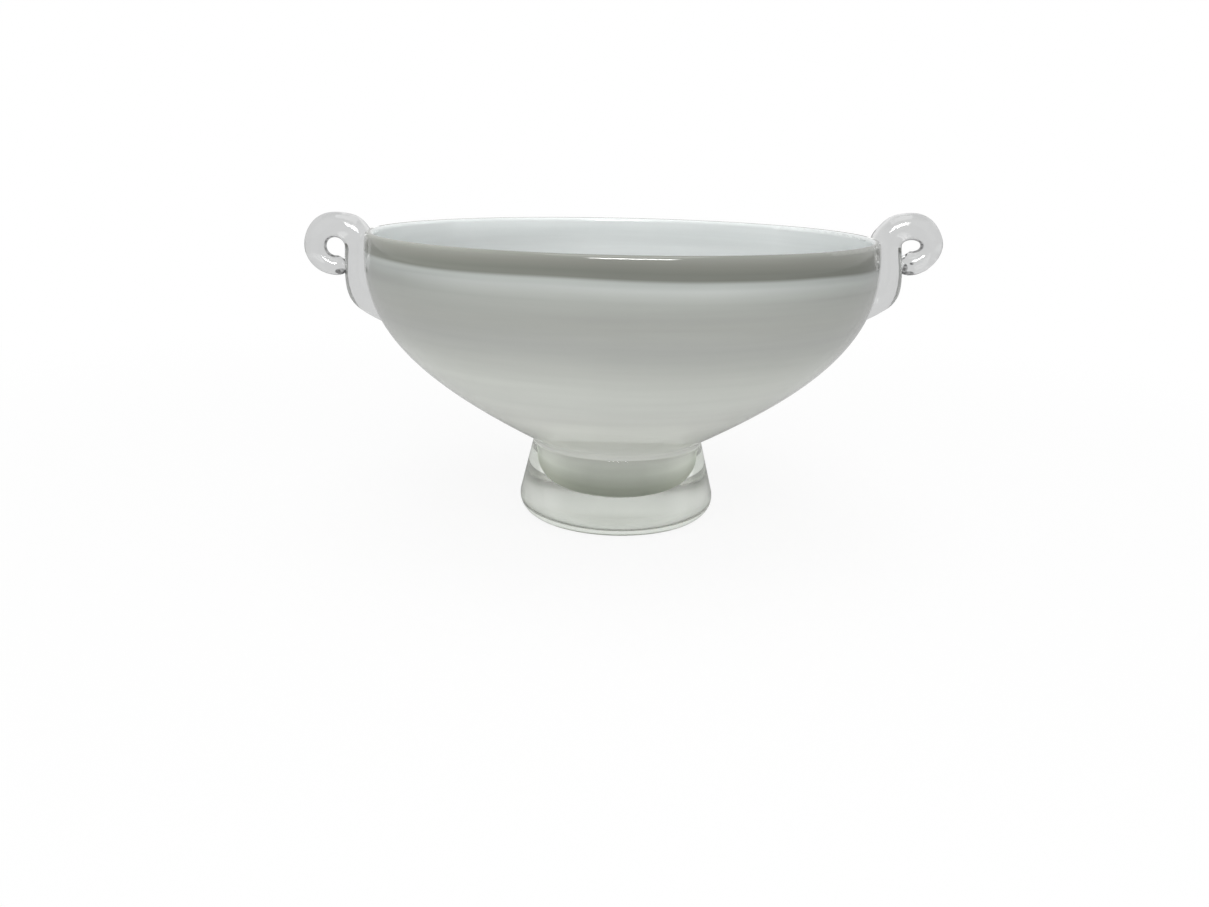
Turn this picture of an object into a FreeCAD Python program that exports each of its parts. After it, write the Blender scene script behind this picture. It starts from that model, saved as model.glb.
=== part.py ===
import FreeCAD, Part
import math
import os

# Footed glass bowl with a scroll handle at each side
# Lengths are millimetres and angles are degrees. +Z is up and the table is at height zero.
# The origin is the foot's centre on the table. The handles point along -X (left) and +X (right).

# Bowl, an opal glass vessel blown in one piece
bowl_height = 144.7
rim_radius = 125.3
bowl_wall = 4.0
rim_lean = 8.4  # how far the wall leans inwards at the rim
rim_pull = 42.0  # how strongly the wall keeps the rim's direction
underside_slope = 30.0  # rise of the underside where it leaves the waist
underside_pull = 68.0  # how strongly the wall keeps the underside's direction

# Rounded bottom of the bowl, which is sunk into the clear foot
well_radius = 28.0
well_corner = 10.0
well_base_height = 13.0

# Foot, solid clear glass
waist_radius = 43.8
waist_height = 38.9
waist_round = 4.0  # hollow fillet at the waist
heel_radius = 50.6
heel_round = 9.5  # the base inside it is ground flat

# Handles, clear glass rods laid down the wall and curled outwards over the top
scroll_overhang = 33.7  # how far the scrolls reach out beyond the rim
hole_width = 9.6
landing_thickness = 15.0  # how far the stem stands out of the wall above its rounded end
landing_length = 15.0
stem_length = 40.2  # from the scroll's centre down to the stem's end
stem_depth = 15.0  # along Y
landing_depth = 18.0
tip_depth = 11.0
shoulder_thickness = 14.9  # rod beside the rim, where it turns outwards
shoulder_angle = 35.0
stem_bite = 2.9  # how deep the uncut rod reaches into the wall
tip_bite = 0.5  # how deep the tip melts into the stem

# The two scrolls were curled by hand and differ a little
left_scroll_drop = 10.0  # scroll's centre below the rim
left_stem_thickness = 12.6  # how far the stem stands out of the wall beside the scroll
left_hole_height = 9.0
left_top_thickness = 12.4
left_tip_thickness = 9.7

right_scroll_drop = 3.5
right_stem_thickness = 13.2
right_hole_height = 5.6
right_top_thickness = 13.1
right_tip_thickness = 11.8

# Angles round a scroll, from the stem over the top
top_angle = 90.0
outer_angle = 180.0
tip_angle = 270.0

# Headings in the meridian plane, from the axis outwards over the top
out_angle = 0.0
up_angle = 90.0
in_angle = 180.0
full_angle = 360.0

# How finely the lofted rods are described
landing_steps = 6
stem_steps = 3
step_angle = 15.0  # between the scroll's sections
cap_steps = 5
cap_reserve = 0.5  # share of a step that keeps the last section from shrinking to a point
search_steps = 50


def at(radius, height):
    """A point of the meridian plane."""
    return FreeCAD.Vector(radius, 0, height)


def heading(angle):
    """A unit step of the meridian plane, 0 outwards and 90 up."""
    return at(math.cos(math.radians(angle)), math.sin(math.radians(angle)))


def line(start, end):
    return Part.LineSegment(start, end).toShape()


def arc(centre, radius, first, last):
    """An arc of the meridian plane between two headings."""
    middle = (first + last) / 2
    points = [centre + heading(angle) * radius for angle in (first, middle, last)]
    return Part.Arc(*points).toShape()


def revolve(edges):
    """A solid turned from a closed outline that starts and ends on the axis."""
    face = Part.Face(Part.Wire(edges))
    return face.revolve(at(0, 0), FreeCAD.Vector(0, 0, 1), full_angle)


# Points that the bowl and the foot share
waist_centre = at(waist_radius + waist_round, waist_height)
seam = at(waist_radius, waist_height)
root_round = waist_radius - well_radius
root_centre = seam - at(0, root_round)
well_corner_centre = at(well_radius - well_corner, well_base_height + well_corner)
lip_round = bowl_wall / 2
lip_centre = at(rim_radius - lip_round, bowl_height - lip_round)
underside_start = waist_centre + heading(up_angle + underside_slope) * waist_round
rim_end = lip_centre + heading(rim_lean) * lip_round


def wall_curve(inset):
    """The wall's line from the waist to the lip, at a depth inside the outer face."""
    start = underside_start + heading(up_angle + underside_slope) * inset
    end = rim_end - heading(rim_lean) * inset
    shrink = (end - start).Length / (rim_end - underside_start).Length
    low_pole = start + heading(underside_slope) * underside_pull * shrink
    high_pole = end - heading(up_angle + rim_lean) * rim_pull * shrink
    curve = Part.BezierCurve()
    curve.setPoles([start, low_pole, high_pole, end])
    return curve


outer_wall = wall_curve(0)
inner_wall = wall_curve(bowl_wall)


def wall_radius(height):
    """Radius of the bowl's outer face at a height, found by halving."""
    low, high = 0.0, 1.0
    for _ in range(search_steps):
        middle = (low + high) / 2
        if outer_wall.value(middle).z < height:
            low = middle
        else:
            high = middle
    return outer_wall.value(high).x


def sunk_bottom():
    """Outline of the bowl's bottom inside the foot, from the axis to the seam."""
    base = at(0, well_base_height)
    base_edge = at(well_corner_centre.x, well_base_height)
    side_low = at(well_radius, well_corner_centre.z)
    side_high = at(well_radius, root_centre.z)
    return [
        line(base, base_edge),
        arc(well_corner_centre, well_corner, -up_angle, out_angle),
        line(side_low, side_high),
        arc(root_centre, root_round, in_angle, up_angle),
    ]


def outer_face():
    """Outline of the bowl's outside, from the axis at the bottom up to the lip."""
    return sunk_bottom() + [
        arc(waist_centre, waist_round, in_angle, up_angle + underside_slope),
        outer_wall.toShape(),
    ]


def inner_face():
    """Outline of the bowl's inside, from the lip down to the axis."""
    inner_radius = well_radius - bowl_wall
    floor_height = well_base_height + bowl_wall
    floor_corner = well_corner - bowl_wall
    throat_round = root_round + bowl_wall
    start = inner_wall.value(0)
    throat_end_radius = inner_radius + throat_round * (1 - math.sin(math.radians(underside_slope)))
    fall = (start.x - throat_end_radius) * math.tan(math.radians(underside_slope))
    throat_end = at(throat_end_radius, start.z - fall)
    throat_centre = throat_end - heading(up_angle + underside_slope) * throat_round
    side_high = at(inner_radius, throat_centre.z)
    side_low = at(inner_radius, floor_height + floor_corner)
    corner_centre = at(inner_radius - floor_corner, floor_height + floor_corner)
    floor_edge = at(corner_centre.x, floor_height)
    return [
        inner_wall.toShape(),
        line(start, throat_end),
        arc(throat_centre, throat_round, up_angle + underside_slope, in_angle),
        line(side_high, side_low),
        arc(corner_centre, floor_corner, out_angle, -up_angle),
        line(floor_edge, at(0, floor_height)),
    ]


def make_bowl():
    lip = arc(lip_centre, lip_round, rim_lean, in_angle + rim_lean)
    floor = at(0, well_base_height + bowl_wall)
    axis = line(floor, at(0, well_base_height))
    return revolve(outer_face() + [lip] + inner_face() + [axis])


def make_bowl_body():
    """The bowl with its hollow filled, which the handles are fitted to."""
    lip = arc(lip_centre, lip_round, rim_lean, up_angle)
    top = at(0, bowl_height)
    across = line(at(lip_centre.x, bowl_height), top)
    axis = line(top, at(0, well_base_height))
    return revolve(outer_face() + [lip, across, axis])


def make_foot():
    heel_centre = at(heel_radius - heel_round, heel_round)
    between = waist_centre - heel_centre
    slant = math.degrees(math.atan2(between.z, between.x))
    flank_normal = slant - math.degrees(math.acos((waist_round + heel_round) / between.Length))
    flank_high = waist_centre - heading(flank_normal) * waist_round
    flank_low = heel_centre + heading(flank_normal) * heel_round
    base_edge = at(heel_centre.x, 0)
    outline = sunk_bottom() + [
        arc(waist_centre, waist_round, in_angle, in_angle + flank_normal),
        line(flank_high, flank_low),
        arc(heel_centre, heel_round, flank_normal, -up_angle),
        line(base_edge, at(0, 0)),
        line(at(0, 0), at(0, well_base_height)),
    ]
    return revolve(outline)


def section(centre, angle, half_thickness, half_depth):
    """An oval wire across the rod, its thickness along a heading and its depth along Y."""
    along = heading(angle) * half_thickness
    place = FreeCAD.Matrix(
        along.x, 0, 0, centre.x,
        0, half_depth, 0, 0,
        along.z, 0, 1, centre.z,
    )
    circle = Part.Circle(FreeCAD.Vector(0, 0, 0), FreeCAD.Vector(0, 0, 1), 1).toShape()
    return Part.Wire(circle.transformGeometry(place))


def ease(start, end, share):
    """Goes smoothly from one value to the next as share goes from 0 to 1."""
    return start + (end - start) * (1 - math.cos(math.pi * share)) / 2


def make_handle(scroll_drop, stem_thickness, hole_height, top_thickness, tip_thickness):
    """A handle at +X: the stem's sections lie level, and the scroll's fan round its centre."""
    scroll_height = bowl_height - scroll_drop
    end_height = scroll_height - stem_length
    stem_outside = wall_radius(scroll_height) + stem_thickness
    centre = at(stem_outside + hole_width / 2, scroll_height)
    outer_thickness = rim_radius + scroll_overhang - stem_outside - hole_width
    stations = [
        (0, stem_thickness + stem_bite),
        (shoulder_angle, shoulder_thickness),
        (top_angle, top_thickness),
        (outer_angle, outer_thickness),
        (tip_angle, tip_thickness),
    ]

    def stem_section(height, reach, depth):
        inside = wall_radius(height) - stem_bite
        half = (stem_bite + reach) / 2
        return section(at(inside + half, height), in_angle, half, depth / 2)

    def thickness_at(angle):
        for (first, start), (last, end) in zip(stations, stations[1:]):
            if angle <= last:
                return ease(start, end, (angle - first) / (last - first))
        return tip_thickness

    def hole_radius(angle):
        across = math.cos(math.radians(angle)) / (hole_width / 2)
        up = math.sin(math.radians(angle)) / (hole_height / 2)
        return 1 / math.hypot(across, up)

    def scroll_section(angle, share):
        half = thickness_at(angle) / 2
        depth = ease(stem_depth, tip_depth, min(angle / tip_angle, 1))
        middle = centre + heading(in_angle - angle) * (hole_radius(angle) + half)
        return section(middle, in_angle - angle, half * share, depth / 2 * share)

    # The first section is buried in the wall, so the stem's end is all round
    stem = [stem_section(end_height, -stem_bite / 2, stem_bite)]
    for step in range(1, landing_steps):
        slope = math.radians(up_angle * step / landing_steps)
        share = 1 - math.cos(slope)
        reach = landing_thickness * math.sin(math.radians(up_angle * share))
        height = end_height + landing_length * share
        stem.append(stem_section(height, reach, landing_depth * math.sin(slope)))
    for step in range(stem_steps):
        share = step / stem_steps
        height = end_height + landing_length + (stem_length - landing_length) * share
        reach = ease(landing_thickness, stem_thickness, share)
        stem.append(stem_section(height, reach, ease(landing_depth, stem_depth, share)))

    # The tip is round, and its end lies just inside the stem
    tip_radius = hole_height / 2 + tip_thickness / 2
    end_cosine = (hole_width / 2 + tip_bite) / tip_radius
    end_angle = full_angle - math.degrees(math.acos(end_cosine))
    cap_start = end_angle - math.degrees(tip_thickness / 2 / tip_radius)

    over = [scroll_section(step * step_angle, 1) for step in range(int(outer_angle / step_angle) + 1)]
    back_count = math.ceil((cap_start - outer_angle) / step_angle)
    back_turn = (cap_start - outer_angle) / back_count
    back = [scroll_section(outer_angle + step * back_turn, 1) for step in range(back_count + 1)]
    for step in range(1, cap_steps + 1):
        slope = up_angle * step / (cap_steps + cap_reserve)
        angle = cap_start + (end_angle - cap_start) * math.sin(math.radians(slope))
        back.append(scroll_section(angle, math.cos(math.radians(slope))))

    rod = Part.makeLoft(stem + over, True).fuse(Part.makeLoft(back, True))
    return rod.removeSplitter().cut(make_bowl_body())


def write(name, shape):
    solids = sorted(shape.Solids, key=lambda solid: solid.Volume)
    solid = solids[-1]
    box = solid.BoundBox
    print(name, "solids", len(solids), "valid", solid.isValid(), "volume", round(solid.Volume),
          "X", round(box.XMin, 1), round(box.XMax, 1), "Z", round(box.ZMin, 1), round(box.ZMax, 1))
    solid.exportStep(os.path.join("parts", name + ".step"))


def mirrored(shape):
    return shape.mirror(FreeCAD.Vector(0, 0, 0), FreeCAD.Vector(1, 0, 0))


os.makedirs("parts", exist_ok=True)
write("bowl", make_bowl())
write("foot", make_foot())
write("handle_left", mirrored(make_handle(
    left_scroll_drop, left_stem_thickness, left_hole_height, left_top_thickness, left_tip_thickness)))
write("handle_right", make_handle(
    right_scroll_drop, right_stem_thickness, right_hole_height, right_top_thickness, right_tip_thickness))
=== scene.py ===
"""Looks for the footed opal glass bowl with clear glass foot and scroll handles. Metres, +Z up."""

import math

import bpy
from mathutils import Matrix, Vector
from mathutils.bvhtree import BVHTree
from mathutils.kdtree import KDTree


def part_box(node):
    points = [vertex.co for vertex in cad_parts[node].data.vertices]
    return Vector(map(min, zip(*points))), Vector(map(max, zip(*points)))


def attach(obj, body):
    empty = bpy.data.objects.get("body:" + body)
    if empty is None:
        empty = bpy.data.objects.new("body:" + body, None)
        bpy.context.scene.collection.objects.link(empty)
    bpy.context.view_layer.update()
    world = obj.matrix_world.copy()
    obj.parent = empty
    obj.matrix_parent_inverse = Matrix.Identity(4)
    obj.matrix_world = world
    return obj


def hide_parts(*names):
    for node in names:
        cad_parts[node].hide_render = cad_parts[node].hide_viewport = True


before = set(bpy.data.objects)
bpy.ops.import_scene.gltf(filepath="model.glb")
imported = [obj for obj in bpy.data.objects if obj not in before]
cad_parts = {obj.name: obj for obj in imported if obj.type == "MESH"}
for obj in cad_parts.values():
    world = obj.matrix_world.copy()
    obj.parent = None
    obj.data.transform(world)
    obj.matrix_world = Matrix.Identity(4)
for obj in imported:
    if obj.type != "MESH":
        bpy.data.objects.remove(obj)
bpy.context.view_layer.update()

# Camera, fitted to the photograph's outline
PHOTO_WIDTH = 1209
FOCAL_PIXELS = 1050.0
SENSOR_MM = 36.0
CAMERA_PLACE = Vector((0, -0.53254, 0.18187))
CAMERA_PITCH = math.radians(15.91)
CAMERA_ROLL = math.radians(1.21)
CAMERA_YAW = math.radians(-0.70)

# Heights on the bowl that the materials follow
WAIST_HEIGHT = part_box("foot")[1].z
BOWL_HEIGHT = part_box("bowl")[1].z

# The floor lies a hair under the foot, so that no two faces coincide
FLOOR_HEIGHT = -0.0003

# Brightness of the studio's plain part as glossy surfaces reflect it
TENT_GREY = 0.66

# Where the handles' stems cover the bowl's wall: half their width, and their lower ends
HANDLE_HALF = 0.0070
STEM_END_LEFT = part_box("handle_left")[0].z + 0.004
STEM_END_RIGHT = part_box("handle_right")[0].z + 0.004

# Tones of the opal's outside and inside, by height in millimetres, with painted light and shade in them: the
# outside is darkest at its sunk bottom, a painted shade where it turns down, and in the band under the lip;
# it is paler towards the foot, partly its own tone and partly painted light; the inside is paler towards the
# lip, a painted light
OUTER_TONES_AND_SHADE = [
    (13.0, 0.70, 0.72, 0.67),
    (14.2, 0.66, 0.68, 0.63),
    (15.6, 0.36, 0.38, 0.32),
    (18.0, 0.41, 0.43, 0.37),
    (20.0, 0.44, 0.46, 0.40),
    (27.0, 0.74, 0.76, 0.71),
    (33.0, 0.79, 0.80, 0.76),
    (38.5, 0.81, 0.81, 0.78),
    (39.5, 0.72, 0.735, 0.69),
    (55.0, 0.69, 0.705, 0.66),
    (61.0, 0.75, 0.765, 0.72),
    (68.0, 0.68, 0.695, 0.655),
    (77.0, 0.64, 0.66, 0.62),
    (88.0, 0.59, 0.61, 0.57),
    (98.0, 0.465, 0.48, 0.45),
    (107.0, 0.39, 0.40, 0.38),
    (116.0, 0.37, 0.38, 0.355),
    (126.0, 0.385, 0.40, 0.375),
    (129.0, 0.445, 0.465, 0.44),
    (131.5, 0.495, 0.52, 0.50),
    (134.2, 0.425, 0.45, 0.43),
    (135.5, 0.18, 0.188, 0.165),
    (138.0, 0.165, 0.173, 0.15),
    (141.0, 0.205, 0.21, 0.185),
    (144.7, 0.28, 0.29, 0.26),
]
INNER_TONES_AND_LIGHT = [
    (18.0, 0.64, 0.66, 0.655),
    (88.0, 0.68, 0.705, 0.70),
    (125.0, 0.70, 0.725, 0.72),
    (136.0, 0.745, 0.775, 0.77),
    (144.7, 0.88, 0.91, 0.905),
]

# How far the bands on the bowl's outside run down from left to right, per unit of length
BAND_TILT = 0.008

# Painted shade in the handles' glass, in the scrolls' eyes and folds: place across and up, half width and
# height, reach as a share of those
SHADED_FOLDS = [
    (-0.1433, 0.1348, 0.0048, 0.0047, 1.18),
    (-0.1402, 0.1226, 0.0021, 0.0011, 1.6),
    (0.1433, 0.1413, 0.0048, 0.0029, 1.26),
    (0.1405, 0.1300, 0.0008, 0.0018, 1.6),
    (0.1426, 0.1279, 0.0020, 0.0008, 1.6),
    (0.1433, 0.1329, 0.0006, 0.0004, 1.8),
]
FOLD_SHADE_COLOUR = (0.03, 0.03, 0.03)

# A fold is at full depth this share of the way in from its reach to its own edge
FOLD_EASE = 0.5

# Depth by which the clear glass runs into the opal that it is fused to, and the gap that counts
# as touching
FUSED_DEPTH = 0.0003
TOUCHING = 0.00008

# Reach over which the handles' shading is evened out, how far from their seams it begins, and the
# cosine of the turn beyond which a neighbour no longer counts
EVEN_REACH = 0.0042
SEAM_REACH = 0.0020
EVEN_TURN = 0.5

# The opal under the stems and round behind them, painted paler as light: colours, soft edge, and distance
# from the axis
FUSED_LIT_WHITE = (0.93, 0.94, 0.92, 1)
PALE_LIT_OPAL = (0.74, 0.75, 0.73, 1)
PATCH_EDGE = 0.001
PATCH_START = 0.105

# Clear glass of the foot: tints from the low flank up to the crown, the outline, heel and ground base; the
# darker outline is painted shade and the paler heel painted light
FOOT_TINT = (0.71, 0.74, 0.69)
FOOT_BENDING = 1.5
LOW_FLANK = (0.80, 0.83, 0.78, 1)
MIDDLE_FLANK = (0.92, 0.94, 0.90, 1)
CROWN_TINT = (0.95, 0.97, 0.93, 1)
LIMB_SHADE_TINT = (0.52, 0.55, 0.50, 1)
HEEL_LIGHT_TINT = (0.86, 0.89, 0.84, 1)
NO_TINT = (1, 1, 1, 1)
GROUND_ROUGHNESS = 0.4

# Slow waves in the foot's blown surface
WAVE_STRENGTH = 0.15
WAVE_HEIGHT = 0.0006

# Clear glass of the handles, and the distance from the axis within which their narrow sides are clearer
HANDLE_TINT = (0.63, 0.635, 0.635)
HANDLE_BENDING = 1.45
HANDLE_EDGE = (0.98, 0.98, 0.98, 1)
HANDLE_ROUGHNESS = 0.03
STEM_OUTSIDE = 0.139
STEM_FADE = 0.0005

# Share to which the faint clouds darken the clear glass
CLOUD_SHARE = 0.97

# Gloss of the opal, and how sharply it ends at the foot
OPAL_ROUGHNESS = 0.6
GLOSS_ROUGHNESS = 0.03
GLOSS_BENDING = 1.5
GLOSS_EDGE = 0.0002

# Floor: half its width, its colour, and how it turns into the white backdrop with distance
FLOOR_HALF = 6.0
FLOOR_PALE = (0.9, 0.9, 0.9, 1)
FLOOR_IN_GLOSS = (0.6, 0.6, 0.6, 1)
FLOOR_GLOW = 0.88
FLOOR_NEAR = 0.15
FLOOR_FAR = 0.7
FULL_WHITE = (1, 1, 1, 1)

# Tent of light: its darker ceiling in reflections, and its strength as a light
CEILING_GREY = 0.15
TENT_STRENGTH = 0.62

# The key lamp and the panel share an azimuth, so that they make one gleam, and the panel's edge is soft
KEY_AZIMUTH = 5
PANEL_EDGE = 0.2


def add_camera():
    level = math.cos(CAMERA_PITCH)
    forward = Vector((math.sin(CAMERA_YAW) * level, math.cos(CAMERA_YAW) * level, -math.sin(CAMERA_PITCH)))
    right = forward.cross(Vector((0, 0, 1))).normalized()
    up = right.cross(forward)
    turned_right = math.cos(CAMERA_ROLL) * right + math.sin(CAMERA_ROLL) * up
    turned_up = math.cos(CAMERA_ROLL) * up - math.sin(CAMERA_ROLL) * right
    data = bpy.data.cameras.new("camera")
    data.sensor_width = SENSOR_MM
    data.lens = SENSOR_MM * FOCAL_PIXELS / PHOTO_WIDTH
    data.clip_start = 0.01
    data.clip_end = 20
    camera = bpy.data.objects.new("camera", data)
    axes = Matrix((turned_right, turned_up, -forward)).transposed().to_4x4()
    camera.matrix_world = Matrix.Translation(CAMERA_PLACE) @ axes
    bpy.context.scene.collection.objects.link(camera)
    bpy.context.scene.camera = camera


class Tree:
    """Short calls for building a node tree."""

    def __init__(self, tree):
        self.tree = tree
        tree.nodes.clear()

    def node(self, kind, **settings):
        made = self.tree.nodes.new(kind)
        for name, value in settings.items():
            setattr(made, name, value)
        return made

    def put(self, value, socket):
        """Links an output to a socket, or writes a plain value on it."""
        if isinstance(value, bpy.types.NodeSocket):
            self.tree.links.new(value, socket)
        else:
            socket.default_value = value

    def math(self, operation, first, second=0.0, clamp=False):
        made = self.node("ShaderNodeMath", operation=operation, use_clamp=clamp)
        self.put(first, made.inputs[0])
        self.put(second, made.inputs[1])
        return made.outputs[0]

    def product(self, first, *others):
        for other in others:
            first = self.math("MULTIPLY", first, other)
        return first

    def size_of(self, value):
        return self.math("ABSOLUTE", value)

    def mix(self, share, first, second):
        made = self.node("ShaderNodeMix", data_type="RGBA")
        self.put(share, made.inputs["Factor"])
        self.put(first, made.inputs[6])
        self.put(second, made.inputs[7])
        return made.outputs[2]

    def range(self, value, low, high, start=0.0, end=1.0, smooth=False):
        made = self.node("ShaderNodeMapRange", interpolation_type="SMOOTHSTEP" if smooth else "LINEAR")
        for amount, socket in zip((value, low, high, start, end), made.inputs):
            self.put(amount, socket)
        return made.outputs[0]

    def noise(self, vector, scale, detail=2.0, roughness=0.5):
        made = self.node("ShaderNodeTexNoise")
        self.put(vector, made.inputs["Vector"])
        made.inputs["Scale"].default_value = scale
        made.inputs["Detail"].default_value = detail
        made.inputs["Roughness"].default_value = roughness
        return made.outputs["Fac"]

    def stretched(self, vector, scale):
        made = self.node("ShaderNodeVectorMath", operation="MULTIPLY")
        self.put(vector, made.inputs[0])
        made.inputs[1].default_value = scale
        return made.outputs[0]

    def scaled(self, vector, scale):
        made = self.node("ShaderNodeVectorMath", operation="SCALE")
        self.put(vector, made.inputs[0])
        self.put(scale, made.inputs["Scale"])
        return made.outputs[0]

    def parts(self, vector):
        made = self.node("ShaderNodeSeparateXYZ")
        self.put(vector, made.inputs[0])
        return made.outputs

    def ramp(self, value, stops):
        made = self.node("ShaderNodeValToRGB")
        ramp = made.color_ramp
        ramp.interpolation = "LINEAR"
        while len(ramp.elements) < len(stops):
            ramp.elements.new(0.5)
        for element, (place, colour) in zip(ramp.elements, stops):
            element.position = place
            element.color = (*colour, 1)
        self.put(value, made.inputs[0])
        return made.outputs[0]


def material(name):
    made = bpy.data.materials.new(name)
    made.use_nodes = True
    tree = Tree(made.node_tree)
    shader = tree.node("ShaderNodeBsdfPrincipled")
    output = tree.node("ShaderNodeOutputMaterial")
    tree.put(shader.outputs[0], output.inputs["Surface"])
    return made, tree, shader


def tones_by_height(stops):
    """Ramp stops from rows of height in millimetres and colour."""
    return [(height / 1000 / BOWL_HEIGHT, tuple(colour)) for height, *colour in stops]


def opal_material():
    made, tree, shader = material("opal")
    place = tree.node("ShaderNodeTexCoord")
    spot = place.outputs["Object"]
    along, across, height = tree.parts(spot)

    # Outside is where the surface faces away from the axis, with the underside and the top of the lip
    flat = tree.stretched(spot, (1, 1, 0))
    away = tree.node("ShaderNodeVectorMath", operation="NORMALIZE")
    tree.put(flat, away.inputs[0])
    turned = tree.node("ShaderNodeVectorMath", operation="DOT_PRODUCT")
    tree.put(away.outputs[0], turned.inputs[0])
    tree.put(place.outputs["Normal"], turned.inputs[1])
    facing_up = tree.parts(place.outputs["Normal"])[2]
    lean = tree.product(facing_up, tree.range(height, 0.120, 0.136, -0.3, 0.4))
    outside = tree.range(tree.math("ADD", turned.outputs["Value"], lean), -0.1, 0.1)

    # Tone of the outside by height: a darker band under the lip, then paler towards the foot, partly painted
    # light, with painted shade at the sunk bottom
    wander = tree.noise(tree.stretched(spot, (9, 9, 0)), 1.0, 1.0)
    drift = tree.product(tree.math("SUBTRACT", wander, 0.5), 0.003)
    tilt = tree.product(along, BAND_TILT)
    level = tree.math("ADD", tree.math("ADD", height, drift), tilt)
    outer = tree.ramp(tree.range(level, 0.0, BOWL_HEIGHT), tones_by_height(OUTER_TONES_AND_SHADE))
    inner = tree.ramp(tree.range(height, 0.0, BOWL_HEIGHT), tones_by_height(INNER_TONES_AND_LIGHT))

    # Painted light and shade: the opal is paler towards the left, most of all in the band under the lip, and
    # darker towards the right
    rim = tree.range(height, 0.133, 0.137)
    left = tree.range(rim, 0.0, 1.0, tree.range(height, 0.120, 0.129, 1.15, 1.03), 1.42)
    right = tree.range(rim, 0.0, 1.0, tree.range(height, 0.120, 0.129, 1.0, 0.82), 1.0)
    painted_light_and_shade = tree.product(tree.range(along, -0.10, 0.0, left, 1.0), tree.range(along, 0.04, 0.10, 1.0, right))

    # A faint shade on the left under the dark band
    shoulder = tree.math("SUBTRACT", tree.range(height, 0.1245, 0.1295, smooth=True), rim, clamp=True)
    shaded = tree.product(shoulder, tree.range(along, -0.095, -0.06, -0.11, 0.0))
    painted_light_and_shade = tree.product(painted_light_and_shade, tree.math("ADD", 1.0, shaded))

    # Painted light: inside the foot it is a little paler at its flanks and round the back of its bottom
    sunk = tree.range(height, WAIST_HEIGHT - 0.012, WAIST_HEIGHT - 0.003, 1.0, 0.0)
    flanks = tree.range(tree.size_of(along), 0.012, 0.030, 0.0, 0.35)
    painted_light_and_shade = tree.product(painted_light_and_shade, tree.math("ADD", 1.0, tree.product(sunk, flanks)))
    bottom = tree.range(height, 0.033, 0.027, smooth=True)
    rear = tree.range(across, -0.002, 0.012, 0.0, 0.45, smooth=True)
    painted_light_and_shade = tree.product(painted_light_and_shade, tree.math("ADD", 1.0, tree.product(bottom, rear)))
    lit_outer = tree.scaled(outer, painted_light_and_shade)

    # Where a handle's stem is fused on; the opal there is painted near white, a painted light
    aside = tree.range(tree.size_of(across), HANDLE_HALF, HANDLE_HALF - PATCH_EDGE)
    beyond = tree.range(tree.size_of(along), PATCH_START, PATCH_START + 2 * PATCH_EDGE)
    foot_of_stem = tree.range(along, -0.01, 0.01, STEM_END_LEFT, STEM_END_RIGHT)
    over_foot = tree.math("SUBTRACT", height, foot_of_stem)
    risen = tree.range(over_foot, 0.0, PATCH_EDGE)
    fused = tree.product(outside, aside, beyond, risen)

    # Painted light: behind the stems the opal is painted paler a good way round, in place of light passing
    # through the opal
    round_back = tree.range(across, 0.060, 0.018, smooth=True)
    round_front = tree.range(across, -HANDLE_HALF, PATCH_EDGE - HANDLE_HALF)
    under_lip = tree.range(height, 0.128, 0.136, 1.0, 0.0, smooth=True)
    over_stem_end = tree.range(over_foot, -0.025, 0.010, smooth=True)
    painted_light_behind_stems = tree.product(round_back, round_front, over_stem_end, under_lip, beyond, outside)
    bright = tree.mix(painted_light_behind_stems, lit_outer, PALE_LIT_OPAL)
    bright = tree.mix(fused, bright, FUSED_LIT_WHITE)

    # Painted shade and light: the inside is a little darker at the left, below the lip, and a little paler
    # at the right
    inner_left_shade = tree.range(along, -0.11, -0.02, tree.range(height, 0.132, 0.140, 0.84, 1.0), 1.0)
    inner_painted_light = tree.product(inner_left_shade, tree.range(along, 0.05, 0.11, 1.0, 1.07))
    tone = tree.mix(outside, tree.scaled(inner, inner_painted_light), bright)

    # Faint streaks round the bowl, from the gathering of the glass
    streaks = tree.noise(tree.stretched(spot, (6, 6, 110)), 1.0, 3.0, 0.6)
    depth = tree.range(streaks, 0.3, 0.7, 0.95, 1.05)
    tree.put(tree.scaled(tone, depth), shader.inputs["Base Color"])

    # The gloss ends where the clear foot and the handles are fused on
    below = tree.range(height, WAIST_HEIGHT - GLOSS_EDGE, WAIST_HEIGHT + GLOSS_EDGE, 1.0, 0.0)
    bare = tree.math("MAXIMUM", fused, tree.product(outside, below))
    tree.put(tree.math("SUBTRACT", 1.0, bare, clamp=True), shader.inputs["Coat Weight"])
    shader.inputs["Specular IOR Level"].default_value = 0.0
    shader.inputs["Roughness"].default_value = OPAL_ROUGHNESS
    shader.inputs["Coat Roughness"].default_value = GLOSS_ROUGHNESS
    shader.inputs["Coat IOR"].default_value = GLOSS_BENDING
    return made


def paint_shade_in_folds(tree, spot, tint):
    """Paints shade into the glass in the scrolls' eyes and in the folds where their tips meet the stems."""
    along, _, height = tree.parts(spot)
    waves = tree.noise(tree.stretched(spot, (700, 150, 700)), 1.0, 2.0)
    depth = tree.range(waves, 0.35, 0.6, 0.6, 1.0)
    for across, up, half_width, half_height, reach in SHADED_FOLDS:
        beside = tree.math("DIVIDE", tree.math("SUBTRACT", along, across), half_width)
        above = tree.math("DIVIDE", tree.math("SUBTRACT", height, up), half_height)
        squares = [tree.product(beside, beside), tree.product(above, above)]
        away = tree.math("SQRT", tree.math("ADD", *squares))
        full = FOLD_EASE + (1 - FOLD_EASE) * reach
        near = tree.product(tree.range(away, reach, full, smooth=True), depth)
        tint = tree.mix(near, tint, (*FOLD_SHADE_COLOUR, 1))
    return tint


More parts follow.
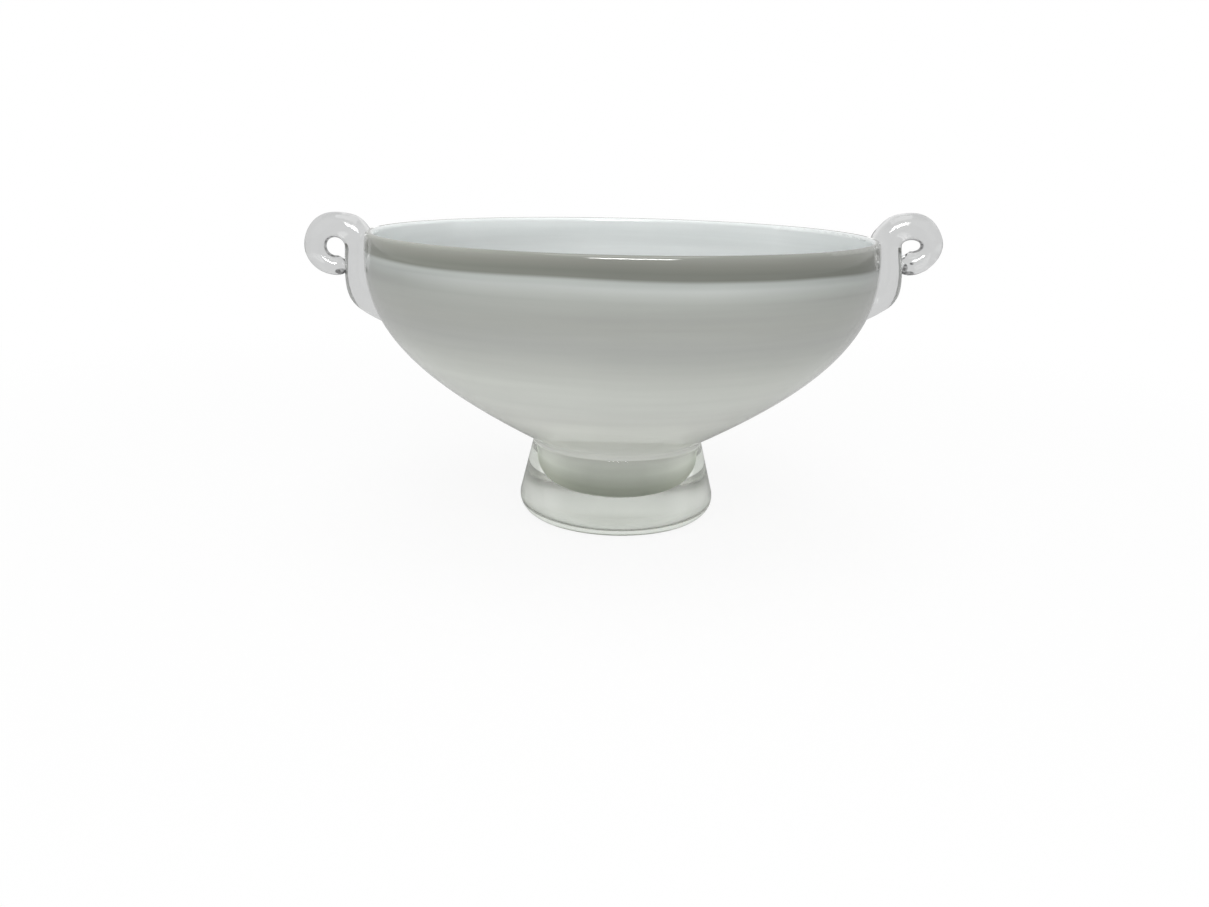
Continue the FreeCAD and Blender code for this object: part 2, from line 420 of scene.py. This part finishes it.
def clear_material(name, colour, bending, ground_base=False):
    """Clear glass: the foot's with its ground base and tinted zones, or the handles' with painted shade in
    their folds.
    """
    made, tree, shader = material(name)
    spot = tree.node("ShaderNodeTexCoord").outputs["Object"]
    cloud = tree.noise(tree.stretched(spot, (30, 30, 60)), 1.0, 2.0)
    share = tree.range(cloud, 0.3, 0.7)
    darker = tuple(CLOUD_SHARE * value for value in colour)
    tint = tree.mix(share, (*darker, 1), (*colour, 1))
    shader.inputs["Transmission Weight"].default_value = 1.0
    shader.inputs["IOR"].default_value = bending
    along, _, height = tree.parts(spot)
    if ground_base:
        # The flanks, where light crosses the tint twice, and their zones by height
        flank = tree.range(tree.size_of(along), 0.022, 0.034, smooth=True)
        middle = tree.range(height, 0.009, 0.013, smooth=True)
        crown = tree.range(height, 0.020, 0.028, smooth=True)
        # The darker tint at the outline is painted shade
        limb = tree.range(tree.size_of(along), 0.0365, 0.0400, smooth=True)
        limb = tree.product(limb, tree.range(height, 0.018, 0.024, smooth=True))
        sides = tree.mix(middle, LOW_FLANK, MIDDLE_FLANK)
        sides = tree.mix(crown, sides, CROWN_TINT)
        sides = tree.mix(limb, sides, LIMB_SHADE_TINT)
        tint = tree.mix(flank, tint, sides)

        # The heel, paler as painted light, and the rough ground base
        heel = tree.range(height, 0.001, 0.005, 1.0, 0.0)
        ground = tree.range(height, 0.0001, 0.0004, 1.0, 0.0)
        tint = tree.mix(heel, tint, HEEL_LIGHT_TINT)
        tint = tree.mix(ground, tint, NO_TINT)
        tree.put(tree.product(ground, GROUND_ROUGHNESS), shader.inputs["Roughness"])

        # Slow waves of the blown surface
        waves = tree.noise(tree.stretched(spot, (60, 60, 40)), 1.0, 1.0)
        bump = tree.node("ShaderNodeBump")
        bump.inputs["Strength"].default_value = WAVE_STRENGTH
        bump.inputs["Distance"].default_value = WAVE_HEIGHT
        tree.put(waves, bump.inputs["Height"])
        tree.put(bump.outputs[0], shader.inputs["Normal"])
    else:
        # The stems' narrow sides stay clearer
        facing = tree.parts(tree.node("ShaderNodeTexCoord").outputs["Normal"])[1]
        edge = tree.range(tree.size_of(facing), 0.6, 0.3, smooth=True)
        stem = tree.range(tree.size_of(along), STEM_OUTSIDE + STEM_FADE, STEM_OUTSIDE - STEM_FADE)
        tint = tree.mix(tree.product(edge, stem), tint, HANDLE_EDGE)
        tint = paint_shade_in_folds(tree, spot, tint)
        shader.inputs["Roughness"].default_value = HANDLE_ROUGHNESS
    tree.put(tint, shader.inputs["Base Color"])
    return made


def finder(vertices):
    """Finds the nearest of these vertices, or those within a reach."""
    places = KDTree(len(vertices))
    for vertex in vertices:
        places.insert(vertex.co, vertex.index)
    places.balance()
    return places


def even_shading(mesh, seam):
    """Evens the shading out over a short reach, as molten glass is even, away from the seam."""
    near = finder(mesh.vertices)
    own = [normal.vector.copy() for normal in mesh.vertex_normals]
    corners = [normal.vector.copy() for normal in mesh.corner_normals]
    even = {}
    for vertex in mesh.vertices:
        if seam.find(vertex.co)[2] > SEAM_REACH:
            total = Vector()
            for _, index, _ in near.find_range(vertex.co, EVEN_REACH):
                if own[index].dot(own[vertex.index]) > EVEN_TURN:
                    total += own[index]
            even[vertex.index] = total.normalized()
    for loop in mesh.loops:
        if loop.vertex_index in even:
            corners[loop.index] = even[loop.vertex_index]
    mesh.normals_split_custom_set(corners)


def fused_copy(node, name, paint, carrier, evened=False):
    """A copy of a clear node whose face on the opal runs a little way into it, as fused glass does."""
    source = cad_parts[node]
    piece = bpy.data.objects.new(name, source.data.copy())
    bpy.context.scene.collection.objects.link(piece)
    found = [(vertex, *carrier.find_nearest(vertex.co)) for vertex in piece.data.vertices]
    touching = [(vertex, spot, normal) for vertex, spot, normal, _, gap in found if gap < TOUCHING]
    if evened:
        even_shading(piece.data, finder([vertex for vertex, _, _ in touching]))
    for vertex, spot, normal in touching:
        vertex.co = spot - normal * FUSED_DEPTH
    piece.data.materials.clear()
    piece.data.materials.append(paint)
    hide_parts(node)
    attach(piece, "root")
    return piece


def rectangle(width, depth):
    """Corners of a rectangle round the origin, in order."""
    turns = [(-0.5, -0.5), (0.5, -0.5), (0.5, 0.5), (-0.5, 0.5)]
    return [(x * width, y * depth) for x, y in turns]


def add_floor():
    """A plain pale floor that keeps the shadow and runs out into the white backdrop."""
    mesh = bpy.data.meshes.new("floor")
    corners = rectangle(2 * FLOOR_HALF, 2 * FLOOR_HALF)
    mesh.from_pydata([(x, y, FLOOR_HEIGHT) for x, y in corners], [], [(0, 1, 2, 3)])
    floor = bpy.data.objects.new("floor", mesh)
    bpy.context.scene.collection.objects.link(floor)
    made = bpy.data.materials.new("floor")
    made.use_nodes = True
    tree = Tree(made.node_tree)
    output = tree.node("ShaderNodeOutputMaterial")
    plain = tree.node("ShaderNodeBsdfDiffuse")
    white = tree.node("ShaderNodeEmission")
    path = tree.node("ShaderNodeLightPath")
    shade = tree.mix(path.outputs["Is Glossy Ray"], FLOOR_PALE, FLOOR_IN_GLOSS)
    tree.put(shade, plain.inputs["Color"])
    spot = tree.node("ShaderNodeTexCoord").outputs["Object"]
    reach = tree.node("ShaderNodeVectorMath", operation="LENGTH")
    tree.put(spot, reach.inputs[0])
    glow = tree.range(reach.outputs["Value"], FLOOR_NEAR, FLOOR_FAR, FLOOR_GLOW, 1.0, smooth=True)
    share = tree.product(path.outputs["Is Camera Ray"], glow)
    share = tree.math("MAXIMUM", share, path.outputs["Is Transmission Ray"])
    both = tree.node("ShaderNodeMixShader")
    tree.put(share, both.inputs[0])
    tree.put(plain.outputs[0], both.inputs[1])
    tree.put(white.outputs[0], both.inputs[2])
    tree.put(both.outputs[0], output.inputs["Surface"])
    mesh.materials.append(made)


def add_world():
    """A white backdrop, and a soft tent of light whose ceiling is darker between the horizon and the top."""
    world = bpy.data.worlds.new("world")
    bpy.context.scene.world = world
    world.use_nodes = True
    tree = Tree(world.node_tree)
    output = tree.node("ShaderNodeOutputWorld")
    path = tree.node("ShaderNodeLightPath")
    direction = tree.node("ShaderNodeTexCoord").outputs["Generated"]
    _, depth, rise = tree.parts(direction)
    plain = (TENT_GREY,) * 3
    ceiling = (CEILING_GREY,) * 3
    tent = tree.ramp(tree.size_of(rise), [
        (0.0, plain),
        (0.70, plain),
        (0.80, ceiling),
        (0.93, ceiling),
        (1.0, plain),
    ])
    light = tree.node("ShaderNodeBackground")
    light.inputs["Color"].default_value = FULL_WHITE
    light.inputs["Strength"].default_value = TENT_STRENGTH
    shown = tree.node("ShaderNodeBackground")

    # What the clear glass shows is white behind the bowl and dimmer on the camera's side
    behind = tree.range(depth, -0.7, -0.2, 0.2, 1.0)
    full = tree.scaled(tent, tree.product(behind, 1 / TENT_GREY))
    through = tree.mix(path.outputs["Is Transmission Ray"], tent, full)
    tree.put(tree.mix(path.outputs["Is Camera Ray"], through, FULL_WHITE), shown.inputs["Color"])
    seen = tree.math("MAXIMUM", path.outputs["Is Camera Ray"], path.outputs["Is Transmission Ray"])
    seen = tree.math("MAXIMUM", seen, path.outputs["Is Glossy Ray"])
    both = tree.node("ShaderNodeMixShader")
    tree.put(seen, both.inputs[0])
    tree.put(light.outputs[0], both.inputs[1])
    tree.put(shown.outputs[0], both.inputs[2])
    tree.put(both.outputs[0], output.inputs["Surface"])


def direction_to(azimuth, elevation):
    """Unit vector from the origin, with the azimuth counted from the front towards the right."""
    turn = math.radians(azimuth)
    rise = math.radians(elevation)
    return Vector((math.sin(turn) * math.cos(rise), -math.cos(turn) * math.cos(rise), math.sin(rise)))


def add_softbox(name, azimuth, elevation, distance, width, height, share):
    """A soft lamp that lights the origin with the given share of a white surface's full level."""
    data = bpy.data.lights.new(name, "AREA")
    data.shape = "RECTANGLE"
    data.size = width
    data.size_y = height
    data.energy = share * math.pi**2 * distance**2
    lamp = bpy.data.objects.new(name, data)
    bpy.context.scene.collection.objects.link(lamp)
    away = direction_to(azimuth, elevation)
    lamp.location = away * distance
    lamp.rotation_euler = away.to_track_quat("Z", "Y").to_euler()


def add_panel(name, azimuth, elevation, distance, width, height, strength):
    """A bright panel that only shows as a gleam in glossy surfaces and lights nothing."""
    away = direction_to(azimuth, elevation)
    axes = away.to_track_quat("Z", "Y").to_matrix()
    points = [away * distance + axes @ Vector((x, y, 0)) for x, y in rectangle(width, height)]
    mesh = bpy.data.meshes.new(name)
    mesh.from_pydata(points, [], [(0, 1, 2, 3)])
    spread = mesh.uv_layers.new(name="spread")
    for corner, place in zip(spread.data, [(0, 0), (1, 0), (1, 1), (0, 1)]):
        corner.uv = place
    panel = bpy.data.objects.new(name, mesh)
    bpy.context.scene.collection.objects.link(panel)
    panel.visible_camera = False
    panel.visible_diffuse = False
    panel.visible_shadow = False
    panel.visible_transmission = False
    made = bpy.data.materials.new(name)
    made.use_nodes = True
    tree = Tree(made.node_tree)
    glow = tree.node("ShaderNodeEmission")
    edges = tree.parts(tree.node("ShaderNodeUVMap").outputs[0])
    fades = []
    for share in edges[:2]:
        inset = tree.math("SUBTRACT", 0.5, tree.size_of(tree.math("SUBTRACT", share, 0.5)))
        fades.append(tree.range(inset, 0.0, PANEL_EDGE, smooth=True))
    tree.put(tree.product(*fades, strength), glow.inputs["Strength"])
    tree.put(glow.outputs[0], tree.node("ShaderNodeOutputMaterial").inputs["Surface"])
    mesh.materials.append(made)


def add_studio():
    add_floor()
    add_world()
    add_softbox("key", KEY_AZIMUTH, elevation=40, distance=1.4, width=0.8, height=0.6, share=0.28)
    add_panel("gleam", KEY_AZIMUTH, elevation=38, distance=1.3, width=0.82, height=0.46, strength=30)
    add_softbox("top", 0, elevation=88, distance=1.3, width=0.9, height=0.9, share=0.28)


add_camera()
add_studio()
opal = opal_material()
clear = clear_material("clear", FOOT_TINT, FOOT_BENDING, ground_base=True)
clear_handle = clear_material("clear_handle", HANDLE_TINT, HANDLE_BENDING)
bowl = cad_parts["bowl"]
bowl.data.materials.clear()
bowl.data.materials.append(opal)
carrier = BVHTree.FromObject(bowl, bpy.context.evaluated_depsgraph_get())
fused_copy("foot", "clear_foot", clear, carrier)
for node, name in (("handle_left", "scroll_left"), ("handle_right", "scroll_right")):
    scroll = fused_copy(node, name, clear_handle, carrier, evened=True)
    scroll.visible_shadow = False
bpy.context.scene.view_settings.view_transform = "Standard"
bpy.context.view_layer.update()
